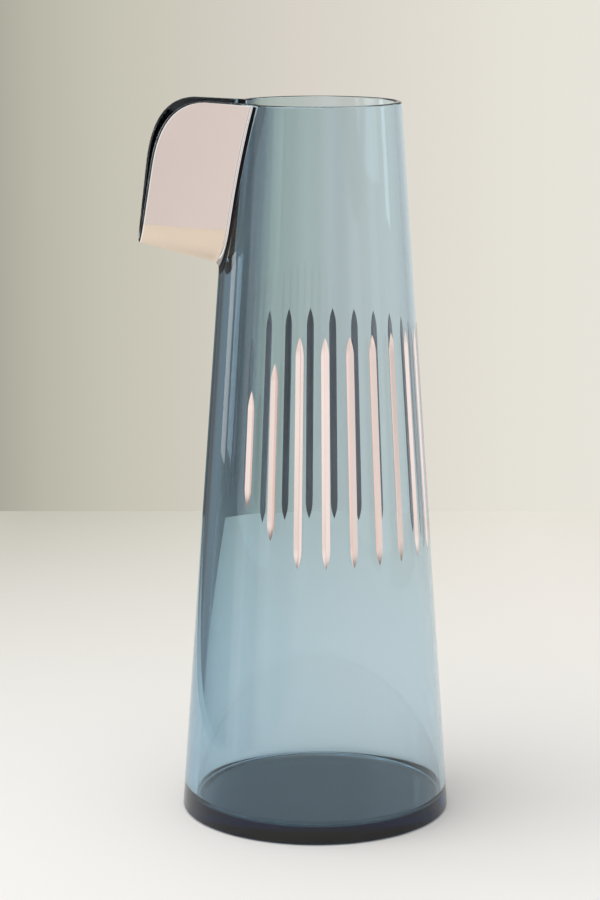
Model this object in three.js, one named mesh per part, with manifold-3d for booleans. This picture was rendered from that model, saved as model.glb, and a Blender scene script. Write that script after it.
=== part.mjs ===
// Water carafe of smoke-blue glass: a tall cone with an open beak for a spout, a metal coat on the
// outside of the beak and a row of upright wheel cuts, each lined with the same metal.
// Millimetres, +Z up. The origin is the middle of the underside and the beak points along -X.
import * as THREE from "three";
import { mergeVertices } from "three/addons/utils/BufferGeometryUtils.js";
import Module from "manifold-3d";

const wasm = await Module();
wasm.setup();

// Body
const HEIGHT = 285;
const BASE_RADIUS = 54;
const RIM_RADIUS = 33.5;
const FOOT_WALL = 3.8;
const RIM_WALL = 3.6;
const BORE_OFFSET = 1.2;
const FLOOR = 5.4;
const FLOOR_FILLET = 3.5;
const FOOT_BEVEL = 0.8;

// Side view of the beak: distances past the rim, and heights from it
const BEAK_REACH = 36.8;
const BEAK_DROP = 53.3;
const BROW_REACH = 12.5;
const BROW_RISE = 1.4;
const BROW_DROP = 23;
const FRONT_LEAN = 7;
const UNDERSIDE_FALL = 9.2;
const ROOT_FILLET = 2.8;
const SIDE_FILLET = 1.8;

// Cross-section of the beak: flat sides above a crease, a keel below it
const KEEL_FRONT = 7.2;
const KEEL_ROOT = 13.7;
const ROOT_HALF_WIDTH = 7.6;
const TIP_HALF_WIDTH = 3;
const PLAN_BOW = 0.2;
const ROOT_SPLAY = 0.16;
const TIP_SPLAY = 0.09;
const KEEL_SHARPNESS = 0.45;
const BEAK_WALL = 2.9;
const TIP_WALL = 1.4;

// Metal coat on the beak
const COAT = 0.5;
const COAT_MARGIN = 0.6;

// Upright wheel cuts: evenly spaced all round, left out under the beak
const CUT_DIVISIONS = 26;
const CUTS_LEFT_OUT_EACH_SIDE = 2;
const CUT_CENTRE = 153.3;
const CUT_LENGTH = 90;
const SECOND_CUT_LENGTH = 69;
const FIRST_CUT_LENGTH = 46;
const CUT_WIDTH = 3.1;
const CUT_DEPTH = 0.95;
const CUT_RUN_OUT = 8;
const FOIL = 0.4;

// Clearance between the metal and the glass, and how far a cutting shape passes a face
const GAP = 0.3;
const PAST = 6;

// Facets
const ROUND_STEPS = 104;
const FILLET_STEPS = 4;
const KEEL_STEPS = 6;
const SIDE_STEPS = 4;
const ROOT_STEPS = 8;
const LENGTH_STEPS = 7;
const BROW_STEPS = 9;
const RUN_OUT_STEPS = 3;
const ROOT_PASSES = 4;
const MERGE_DISTANCE = 1e-3;

// Derived sizes of the body
const TAPER = (BASE_RADIUS - RIM_RADIUS) / HEIGHT;
const radiusAt = (z) => BASE_RADIUS - TAPER * z;

// Derived sizes of the beak: s runs from the axis towards the tip
const TIP = new THREE.Vector2(RIM_RADIUS + BEAK_REACH, HEIGHT - BEAK_DROP);
const ROOT_HEIGHT = TIP.y - UNDERSIDE_FALL;
const ROOT_S = radiusAt(ROOT_HEIGHT);

// Share of the way from the body to the tip
const alongBeak = (s) => (s - ROOT_S) / (TIP.x - ROOT_S);

const keelLine = (s) => ROOT_HEIGHT + UNDERSIDE_FALL * alongBeak(s);
const creaseLine = (s) => keelLine(s) + KEEL_ROOT + (KEEL_FRONT - KEEL_ROOT) * alongBeak(s);
const wallOfBeak = (s) => BEAK_WALL + (TIP_WALL - BEAK_WALL) * alongBeak(s);

// Half width of the beak's flat sides
function sideHalfWidth(s, z) {
  const share = alongBeak(s);
  const narrowing = (1 - PLAN_BOW) * share + PLAN_BOW * share * Math.abs(share);
  const atCrease = THREE.MathUtils.lerp(ROOT_HALF_WIDTH, TIP_HALF_WIDTH, narrowing);
  const splay = THREE.MathUtils.lerp(ROOT_SPLAY, TIP_SPLAY, share);
  return atCrease + splay * (z - creaseLine(s));
}

// A point across the beak at station s, as (sideways, height), set in from the outside by inset.
// q runs from 0 along the keel, through 1 along the crease, to 2 above the lip.
function beakPoint(q, s, inset = 0) {
  const crease = creaseLine(s);
  if (q > 1) {
    const z = THREE.MathUtils.lerp(crease, HEIGHT + PAST, q - 1);
    return new THREE.Vector2(sideHalfWidth(s, z) - inset, z);
  }
  const angle = (q * Math.PI) / 2;
  const across = THREE.MathUtils.lerp(Math.sin(angle), q, KEEL_SHARPNESS);
  const up = THREE.MathUtils.lerp(1 - Math.cos(angle), q, KEEL_SHARPNESS);
  return new THREE.Vector2(
    across * (sideHalfWidth(s, crease) - inset),
    THREE.MathUtils.lerp(keelLine(s) + inset, crease, up),
  );
}

// The way out of the glass across the beak at that point
function beakNormal(q, s) {
  if (q === 0) return new THREE.Vector2(0, -1);
  const step = 1 / (2 * KEEL_STEPS);
  const along = beakPoint(Math.min(q + step, 2), s).sub(beakPoint(q - step, s));
  return new THREE.Vector2(along.y, -along.x).normalize();
}

// Where the line of constant q runs into the body
function lineRoot(q) {
  let s = ROOT_S;
  for (let pass = 0; pass < ROOT_PASSES; pass++) {
    const { x, y } = beakPoint(q, s);
    s = Math.sqrt(radiusAt(y) ** 2 - x ** 2);
  }
  return s;
}

// Radius of the fillet at the root of line q: it grows smaller from the keel up to the crease
const filletOf = (q) => THREE.MathUtils.lerp(ROOT_FILLET, SIDE_FILLET, Math.min(q, 1));

// How far the round fillet at the root stands proud of line q, a distance past the root
function rootFillet(q, past) {
  const fillet = filletOf(q);
  const root = lineRoot(q);
  const point = beakPoint(q, root);
  const normal = beakNormal(q, root);
  const turn = Math.acos((normal.x * point.x) / radiusAt(point.y) + normal.y * TAPER);
  const deepest = fillet * Math.sin(Math.min(turn, Math.PI / 2));
  const into = THREE.MathUtils.clamp(fillet * Math.tan(turn / 2) - past, 0, deepest);
  return fillet - Math.sqrt(fillet ** 2 - into ** 2);
}

// Geometry helpers

// A closed mesh as a solid that can be cut and joined
function solidOf(geometry) {
  const loose = geometry.index ? geometry.toNonIndexed() : geometry;
  const bare = new THREE.BufferGeometry();
  bare.setAttribute("position", loose.getAttribute("position"));
  const merged = mergeVertices(bare, MERGE_DISTANCE);
  const corners = merged.index.array;
  const triangles = [];
  for (let i = 0; i < corners.length; i += 3) {
    const [a, b, c] = corners.slice(i, i + 3);
    if (a !== b && b !== c && c !== a) triangles.push(a, b, c);
  }
  const vertProperties = merged.getAttribute("position").array;
  const triVerts = Uint32Array.from(triangles);
  return new wasm.Manifold(new wasm.Mesh({ numProp: 3, vertProperties, triVerts }));
}

function geometryOf(solid) {
  const mesh = solid.getMesh();
  const geometry = new THREE.BufferGeometry();
  geometry.setAttribute("position", new THREE.BufferAttribute(mesh.vertProperties, 3));
  geometry.setIndex(new THREE.BufferAttribute(mesh.triVerts, 1));
  geometry.computeVertexNormals();
  return geometry;
}

// A closed skin over matching rings of Vector3; flatten turns a ring's points into a flat outline for its cap.
// The second half of a ring mirrors the first, and so do its triangles.
function loft(rings, flatten) {
  const count = rings[0].length;
  const index = [];
  for (let k = 0; k + 1 < rings.length; k++) {
    for (let i = 0; i < count; i++) {
      const here = k * count + i;
      const beside = k * count + ((i + 1) % count);
      const ahead = here + count;
      const across = beside + count;
      const onFirstHalf = i < count / 2;
      if (onFirstHalf) index.push(here, beside, across, here, across, ahead);
      else index.push(here, beside, ahead, beside, across, ahead);
    }
  }
  const capOf = (ring) => THREE.ShapeUtils.triangulateShape(ring.map(flatten), []);
  const last = (rings.length - 1) * count;
  for (const [a, b, c] of capOf(rings[0])) index.push(a, c, b);
  for (const [a, b, c] of capOf(rings.at(-1))) index.push(last + a, last + b, last + c);
  const geometry = new THREE.BufferGeometry().setFromPoints(rings.flat());
  geometry.setIndex(index);
  return geometry;
}

// A solid of revolution about Z, from points of (radius, height)
function turned(points) {
  const lathe = new THREE.LatheGeometry(points, ROUND_STEPS);
  return solidOf(lathe.rotateX(Math.PI / 2));
}

// A side-view outline of (s, height) carried across the beak, from one sideways place to another
function acrossBeak(outline, from, to) {
  const slab = new THREE.ExtrudeGeometry(outline, {
    depth: to - from,
    bevelEnabled: false,
    curveSegments: BROW_STEPS,
  });
  const toBeak = new THREE.Matrix4().makeBasis(
    new THREE.Vector3(-1, 0, 0),
    new THREE.Vector3(0, 0, 1),
    new THREE.Vector3(0, 1, 0),
  );
  return solidOf(slab.applyMatrix4(toBeak).translate(0, from, 0));
}

// Glass

// The outside of the cone, grown by a clearance where something has to stay off it
function outerCone(grow) {
  const foot = grow > 0 ? -PAST : 0;
  const top = grow > 0 ? HEIGHT + PAST : HEIGHT;
  const bevel = grow > 0 ? 0 : FOOT_BEVEL;
  return turned([
    new THREE.Vector2(0, foot),
    new THREE.Vector2(radiusAt(foot) + grow - bevel, foot),
    new THREE.Vector2(radiusAt(foot + bevel) + grow, foot + bevel),
    new THREE.Vector2(radiusAt(top) + grow, top),
    new THREE.Vector2(0, top),
  ]);
}

// The inside of the body, set back from the beak so that the wall is thickest where the beak grows from it
function cavity() {
  const insideAt = (z) => THREE.MathUtils.lerp(BASE_RADIUS - FOOT_WALL, RIM_RADIUS - RIM_WALL, z / HEIGHT);
  const points = [new THREE.Vector2(0, FLOOR)];
  for (let i = 0; i <= FILLET_STEPS; i++) {
    const angle = (i / FILLET_STEPS) * (Math.PI / 2);
    const z = FLOOR + FLOOR_FILLET * (1 - Math.cos(angle));
    points.push(new THREE.Vector2(insideAt(z) - FLOOR_FILLET * (1 - Math.sin(angle)), z));
  }
  const top = HEIGHT + PAST;
  points.push(new THREE.Vector2(insideAt(top), top), new THREE.Vector2(0, top));
  return turned(points).translate([BORE_OFFSET, 0, 0]);
}

// Lines along the beak, from the keel up one side
const BEAK_LINES = [];
for (let i = 0; i <= KEEL_STEPS; i++) BEAK_LINES.push(i / KEEL_STEPS);
for (let i = 1; i <= SIDE_STEPS; i++) BEAK_LINES.push(1 + i / SIDE_STEPS);

// Stations along line q: one inside the bore, some over the fillet and the rest out to past the tip
function beakStations(q) {
  const root = lineRoot(q);
  const fillet = filletOf(q);
  const before = root - fillet / 4;
  const free = root + (5 / 4) * fillet;
  const stations = [root - FOOT_WALL - BORE_OFFSET - PAST];
  for (let k = 0; k < ROOT_STEPS; k++) stations.push(THREE.MathUtils.lerp(before, free, k / ROOT_STEPS));
  for (let k = 0; k <= LENGTH_STEPS; k++) {
    stations.push(THREE.MathUtils.lerp(free, TIP.x + PAST / 2, k / LENGTH_STEPS));
  }
  return stations;
}

// A bar along the beak from inside the body to past the tip.
// pointAt(q, s, past) is its outline at station s, which is a distance past the root of line q.
function beakBar(pointAt) {
  const stationsOf = BEAK_LINES.map(beakStations);
  const rings = [];
  for (let k = 0; k < stationsOf[0].length; k++) {
    const half = BEAK_LINES.map((q, i) => {
      const s = stationsOf[i][k];
      const point = pointAt(q, s, s - lineRoot(q));
      return new THREE.Vector3(-s, -point.x, point.y);
    });
    const mirrored = half.slice(1).reverse().map((p) => new THREE.Vector3(p.x, -p.y, p.z));
    rings.push([...half, ...mirrored]);
  }
  return solidOf(loft(rings, (p) => new THREE.Vector2(-p.y, p.z)));
}

// The outside of the beak with its fillet, grown by a clearance where something has to stay off it
function beakOutside(grow) {
  return beakBar((q, s, past) => {
    const proud = grow + rootFillet(q, past);
    return beakPoint(q, s).add(beakNormal(q, s).multiplyScalar(proud));
  });
}

const beakChannel = () => beakBar((q, s) => beakPoint(q, s, wallOfBeak(s)));

// Side view of the lip: from the rim up to the brow, over it and down the front to the tip.
// The lip is drawn back by inset, and the outline runs on below the tip.
function lipOutline(inset) {
  const front = (z) => TIP.x - (z - TIP.y) * (FRONT_LEAN + inset) / BEAK_DROP;
  const brow = HEIGHT + BROW_RISE - inset;
  const below = TIP.y - BEAK_DROP;
  const outline = new THREE.Shape();
  outline.moveTo(0, below);
  outline.lineTo(front(below), below);
  outline.lineTo(front(HEIGHT - BROW_DROP), HEIGHT - BROW_DROP);
  outline.quadraticCurveTo(front(brow), brow, RIM_RADIUS + BROW_REACH, brow);
  outline.lineTo(lineRoot(BEAK_LINES.at(-1)), HEIGHT - inset);
  outline.lineTo(0, HEIGHT - inset);
  return outline;
}

// Wheel cuts

const CUT_SLOPE = CUT_WIDTH / 2 / CUT_DEPTH;
const CUT_TILT = Math.atan(TAPER);
const LEAST_DEPTH = GAP / 4;

// Length of the cut that is the given number of places from the beak's first cut
function cutLength(place) {
  if (place === 0) return FIRST_CUT_LENGTH;
  if (place === 1) return SECOND_CUT_LENGTH;
  return CUT_LENGTH;
}

// Heights along a cut and the depth of its bottom there, down to a given least depth:
// the wheel lifts out along a parabola at both ends
function cutStations(length, least) {
  const straight = length / 2 - CUT_RUN_OUT;
  const reach = CUT_RUN_OUT * Math.sqrt(1 - least / CUT_DEPTH);
  const half = [];
  for (let i = 0; i <= RUN_OUT_STEPS; i++) {
    const into = (i / RUN_OUT_STEPS) * reach;
    half.push({ z: straight + into, depth: CUT_DEPTH * (1 - (into / CUT_RUN_OUT) ** 2) });
  }
  const lower = half.map(({ z, depth }) => ({ z: -z, depth })).reverse();
  return [...lower, ...half];
}

// A bar along a cut: outlineAt(depth) gives its outline of (sideways, out of the glass).
// In a cut's own frame +X is out of the glass, +Y sideways and +Z up the wall.
function cutBar(stations, outlineAt) {
  const rings = stations.map(({ z, depth }) => {
    return outlineAt(depth).map(([sideways, out]) => new THREE.Vector3(out, -sideways, z));
  });
  return loft(rings, (p) => new THREE.Vector2(-p.y, p.x));
}

function grooveGeometry(length) {
  const over = CUT_DEPTH;
  return cutBar(cutStations(length, LEAST_DEPTH - over), (depth) => [
    [0, -depth],
    [(depth + over) * CUT_SLOPE, over],
    [-(depth + over) * CUT_SLOPE, over],
  ]);
}

function inlayGeometry(length) {
  const hollow = 1 - FOIL / (CUT_DEPTH - GAP);
  return cutBar(cutStations(length, LEAST_DEPTH + GAP), (depth) => {
    const low = depth - GAP;
    const high = low * hollow;
    return [
      [0, -low],
      [low * CUT_SLOPE, 0],
      [high * CUT_SLOPE, 0],
      [0, -high],
      [-high * CUT_SLOPE, 0],
      [-low * CUT_SLOPE, 0],
    ];
  });
}

// Every cut's length and its bearing about Z
function allCuts() {
  const cuts = [];
  const first = CUTS_LEFT_OUT_EACH_SIDE + 1;
  for (let division = first; division <= CUT_DIVISIONS - first; division++) {
    const place = Math.min(division, CUT_DIVISIONS - division) - first;
    const bearing = Math.PI + (2 * Math.PI * division) / CUT_DIVISIONS;
    cuts.push({ length: cutLength(place), bearing });
  }
  return cuts;
}

// Puts an object in a cut's frame on the outside of the cone
function seatInCut(object, bearing) {
  const radius = radiusAt(CUT_CENTRE);
  object.position.set(radius * Math.cos(bearing), radius * Math.sin(bearing), CUT_CENTRE);
  object.rotation.set(0, -CUT_TILT, bearing, "ZYX");
  object.updateMatrix();
  return object;
}

function glassBody(cuts) {
  const lip = acrossBeak(lipOutline(0), -BASE_RADIUS, BASE_RADIUS);
  let glass = outerCone(0).add(beakOutside(0).intersect(lip));
  glass = glass.subtract(cavity()).subtract(beakChannel());
  for (const { length, bearing } of cuts) {
    const seat = seatInCut(new THREE.Object3D(), bearing);
    glass = glass.subtract(solidOf(grooveGeometry(length).applyMatrix4(seat.matrix)));
  }
  return geometryOf(glass);
}

// Metal coat

// Side view of one area of the coat, from the beak's root to past the lip:
// the sides lie above the crease and the underside below it
function coatArea(aboveCrease) {
  const shift = aboveCrease ? GAP / 2 : -GAP / 2;
  const far = aboveCrease ? HEIGHT + PAST : ROOT_HEIGHT - BEAK_DROP / 2;
  const rootAtFar = lineRoot(aboveCrease ? BEAK_LINES.at(-1) : BEAK_LINES[0]);
  const rootAtCrease = lineRoot(1);
  const pastTip = TIP.x + PAST;
  const outline = new THREE.Shape();
  outline.moveTo(rootAtCrease, creaseLine(rootAtCrease) + shift);
  outline.lineTo(pastTip, creaseLine(pastTip) + shift);
  outline.lineTo(pastTip, far);
  outline.lineTo(rootAtFar, far);
  return outline;
}

// The coat's shell over one area of the beak, clear of the glass
function coatShell(aboveCrease, from, to) {
  const shell = beakOutside(GAP + COAT).subtract(beakOutside(GAP)).subtract(outerCone(GAP));
  const lip = acrossBeak(lipOutline(COAT_MARGIN), from, to);
  const area = acrossBeak(coatArea(aboveCrease), from, to);
  return geometryOf(shell.intersect(lip).intersect(area));
}

// Finishes
const smokeBlueGlass = () => new THREE.MeshStandardMaterial({
  color: 0x7f98a3,
  roughness: 0.03,
  metalness: 0,
  transparent: true,
  opacity: 0.45,
});
const roseGold = () => new THREE.MeshStandardMaterial({ color: 0xe3c2b4, roughness: 0.18, metalness: 1 });

function named(name, geometry, material) {
  const mesh = new THREE.Mesh(geometry, material);
  mesh.name = name;
  return mesh;
}

// Assembly
const cuts = allCuts();
const carafe = new THREE.Group();
carafe.add(named("glass_body", glassBody(cuts), smokeBlueGlass()));

const beakCoat = new THREE.Group();
beakCoat.add(named("beak_coat_left", coatShell(true, -BASE_RADIUS, 0), roseGold()));
beakCoat.add(named("beak_coat_right", coatShell(true, 0, BASE_RADIUS), roseGold()));
beakCoat.add(named("beak_coat_underside", coatShell(false, -BASE_RADIUS, BASE_RADIUS), roseGold()));
carafe.add(beakCoat);

const cutInlays = new THREE.Group();
cuts.forEach(({ length, bearing }, i) => {
  const name = `cut_inlay_${String(i + 1).padStart(2, "0")}`;
  cutInlays.add(seatInCut(named(name, inlayGeometry(length), roseGold()), bearing));
});
carafe.add(cutInlays);

export default carafe;
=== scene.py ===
"""Water carafe of smoke-blue glass, with an open beak coated in rose gold and metal-lined wheel cuts.

The frame is the part's own: metres, +Z up, the origin in the middle of the underside, the beak along -X.
"""

import math

import bmesh
import bpy
from mathutils import Matrix, Vector


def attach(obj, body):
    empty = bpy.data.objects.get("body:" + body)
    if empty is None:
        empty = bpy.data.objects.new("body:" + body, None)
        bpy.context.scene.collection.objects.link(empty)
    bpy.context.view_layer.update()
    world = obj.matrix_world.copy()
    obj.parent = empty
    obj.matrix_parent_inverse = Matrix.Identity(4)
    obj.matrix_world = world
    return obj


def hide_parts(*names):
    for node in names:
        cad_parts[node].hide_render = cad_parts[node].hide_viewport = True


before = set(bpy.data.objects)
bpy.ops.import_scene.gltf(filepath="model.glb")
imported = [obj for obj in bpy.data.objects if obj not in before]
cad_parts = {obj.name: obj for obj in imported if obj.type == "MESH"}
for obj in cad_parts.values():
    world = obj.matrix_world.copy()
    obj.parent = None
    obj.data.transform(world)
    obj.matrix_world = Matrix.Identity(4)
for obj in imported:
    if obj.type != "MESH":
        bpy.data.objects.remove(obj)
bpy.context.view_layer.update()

bl_info = {
    "name": "Water Carafe",
    "version": (1, 0, 0),
    "blender": (4, 5, 0),
    "location": "View3D > Sidebar > Carafe",
    "description": "Builds a glass water carafe with a coated beak and metal-lined cuts",
    "category": "Add Mesh",
}

MM = 0.001
COAT_NODES = ("beak_coat_left", "beak_coat_right", "beak_coat_underside")
INLAY_NODES = tuple(sorted(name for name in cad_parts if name.startswith("cut_inlay")))


# Settings


def length(name, millimetres, description):
    """A size that a user may change."""
    return bpy.props.FloatProperty(
        name=name, description=description, default=millimetres * MM, unit="LENGTH", precision=5
    )


def number(name, value, description):
    """A plain number that a user may change."""
    return bpy.props.FloatProperty(name=name, description=description, default=value)


def whole_number(name, value, description):
    """A count that a user may change."""
    return bpy.props.IntProperty(name=name, description=description, default=value)


def colour(name, value, description):
    """A colour that a user may change."""
    return bpy.props.FloatVectorProperty(
        name=name, description=description, default=value, size=3, subtype="COLOR", min=0, max=1
    )


class BodySizes(bpy.types.PropertyGroup):
    """Sizes of the round glass body."""

    height: length("Height", 285, "From the foot to the rim")
    base_radius: length("Base radius", 54, "Radius where the wall would meet the table")
    rim_radius: length("Rim radius", 33.5, "Radius of the outside at the rim")
    foot_wall: length("Wall at the foot", 3.8, "Mean thickness of the wall at the foot")
    rim_wall: length("Wall at the rim", 3.6, "Mean thickness of the wall at the rim")
    bore_offset: length("Bore offset", 1.2, "How far the bore stands back from the beak")
    floor: length("Bottom", 5.4, "Thickness of the bottom")
    floor_fillet: length("Inner fillet", 3.5, "Radius between the bottom and the wall inside")
    foot_round: length("Foot rounding", 0.8, "Rounding of the outer edge of the foot")
    lip_round: length("Lip rounding", 0.5, "Height of the rounding on the rim and the lip")


class BeakSizes(bpy.types.PropertyGroup):
    """Sizes of the open beak."""

    reach: length("Reach", 36.8, "How far the tip stands past the rim")
    drop: length("Drop", 53.3, "How far the tip lies below the rim")
    brow_reach: length("Brow reach", 12.5, "Where the lip starts to turn down, past the rim")
    brow_rise: length("Brow rise", 1.4, "How far the lip rises above the rim")
    brow_drop: length("Brow drop", 23, "Where the lip has turned down, below the rim")
    front_lean: length("Front lean", 7, "How far the front leans back over its height")
    underside_fall: length("Underside fall", 9.2, "How far the underside falls towards the body")
    root_fillet: length("Root fillet", 2.8, "Radius between the keel and the body")
    side_fillet: length("Side fillet", 1.8, "Radius between the beak's sides and the body")
    channel_fillet: length("Channel fillet", 3, "Radius between the channel's bottom and the bore")
    channel_side_fillet: length("Channel side fillet", 1, "Radius between the channel's sides and the bore")
    keel_front: length("Keel height at the tip", 7.2, "From the keel to the crease at the tip")
    keel_root: length("Keel height at the body", 13.7, "From the keel to the crease at the body")
    root_half_width: length("Half width at the body", 7.6, "Half width at the crease, at the body")
    tip_half_width: length("Half width at the tip", 3, "Half width at the crease, at the tip")
    plan_bow: number("Plan bow", 0.2, "How much the sides bow out, seen from above")
    root_splay: number("Splay at the body", 0.16, "Lean of the sides outwards at the body")
    tip_splay: number("Splay at the tip", 0.09, "Lean of the sides outwards at the tip")
    keel_sharpness: number("Keel sharpness", 0.45, "0 is a round keel, 1 a sharp one")
    wall: length("Wall at the body", 2.9, "Thickness of the beak's wall at the body")
    tip_wall: length("Wall at the tip", 1.4, "Thickness of the beak's wall at the tip")
    coat: length("Coat", 0.1, "Thickness of the metal coat")
    coat_margin: length("Coat margin", 0.1, "How far the coat stays back from the lip")
    coat_lift: length("Coat lift", 0.04, "How far the coat stands off the glass")
    # Width of the near-white band along the lip: a painted highlight
    painted_highlight_width: length("Coat edge", 0.35, "Width of the polished edge along the lip")
    # Reach of the near-black painted shadow line from the coat's root over the body
    shadow_line_reach: length("Coat rim", 1.8, "How far the dark rim of the coat runs over the body")


class CutSizes(bpy.types.PropertyGroup):
    """Sizes of the upright wheel cuts and the foil in them."""

    divisions: whole_number("Divisions", 26, "Places for a cut all round")
    first: whole_number("First", 3, "First place past the beak with a cut")
    centre: length("Centre height", 153.3, "Height of the middle of every cut")
    full: length("Full length", 90, "Length of most of the cuts")
    second: length("Second length", 69, "Length of the second cut on each side of the beak")
    shortest: length("First length", 46, "Length of the first cut on each side of the beak")
    width: length("Width", 3.1, "Width of a cut")
    depth: length("Depth", 0.95, "Depth of a cut")
    run_out: length("Run-out", 8, "Length over which the wheel lifts out at an end")
    foil: length("Foil", 0.06, "Thickness of the metal in a cut")
    bite: length("Foil bite", 0.02, "How far the foil reaches into the glass")


class Finishes(bpy.types.PropertyGroup):
    """Colours of the glass and the metal."""

    glass_tint: colour("Glass tint", (0.3, 0.6, 0.745), "Colour that the glass lets through")
    glass_density: number("Glass density", 120, "How strongly the glass takes light away, per metre")
    side_gold: colour("Side coat", (0.76, 0.66, 0.63), "Metal on the sides of the beak")
    keel_gold: colour("Underside coat", (0.79, 0.67, 0.55), "Metal on the underside of the beak")
    inlay_gold: colour("Inlay", (0.98, 0.83, 0.78), "Metal in the cuts")
    # Near-white metal along the coat's edges, at the lip, along the lip's top and beside the root: a
    # painted highlight
    painted_highlight_gold: colour("Coat edge", (0.97, 0.94, 0.92), "Polished metal along the edges of the coat")
    # Near-black metal on the coat's back and in a line at its root: painted shade
    coat_back: colour("Back of the coat", (0.015, 0.012, 0.016), "Coat seen from behind, through the glass")
    # A darker, redder copy of the inlay metal for the inlays' backs: painted shade
    inlay_back: colour("Back of the inlay", (0.85, 0.6, 0.56), "Inlay seen from behind, through the glass")


# Surfaces of the glass


def lerp(a, b, t):
    return a + (b - a) * t


def clamp(value, low, high):
    return max(low, min(high, value))


class Line:
    """One line along the beak: its root on the body, its end at the lip, and the fillet at its root."""

    def __init__(self, at, normal_at, root_s, end_s, fillet):
        self.at = at
        self.normal_at = normal_at
        self.root_s = root_s
        self.end_s = end_s
        self.fillet = fillet


class Cone:
    """One side of the body's wall: a cone about an upright axis that is set back from the beak."""

    def __init__(self, base_radius, top_radius, height, set_back):
        self.base_radius = base_radius
        self.taper = (base_radius - top_radius) / height
        self.set_back = set_back

    def radius(self, z):
        return self.base_radius - self.taper * z

    def point(self, bearing, z):
        """A point at a bearing from the beak, counted towards -Y."""
        radius = self.radius(z)
        return Vector((self.set_back - radius * math.cos(bearing), -radius * math.sin(bearing), z))

    def s_at(self, y, z):
        return math.sqrt(self.radius(z) ** 2 - y**2) - self.set_back

    def bearing_of(self, s, y):
        return math.atan2(y, s + self.set_back)

    def outward(self, x, y):
        return Vector((x - self.set_back, y, math.hypot(x - self.set_back, y) * self.taper)).normalized()

    def off(self, place):
        """How far a place lies off the cone."""
        return abs(math.hypot(place.x - self.set_back, place.y) - self.radius(place.z))


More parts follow.
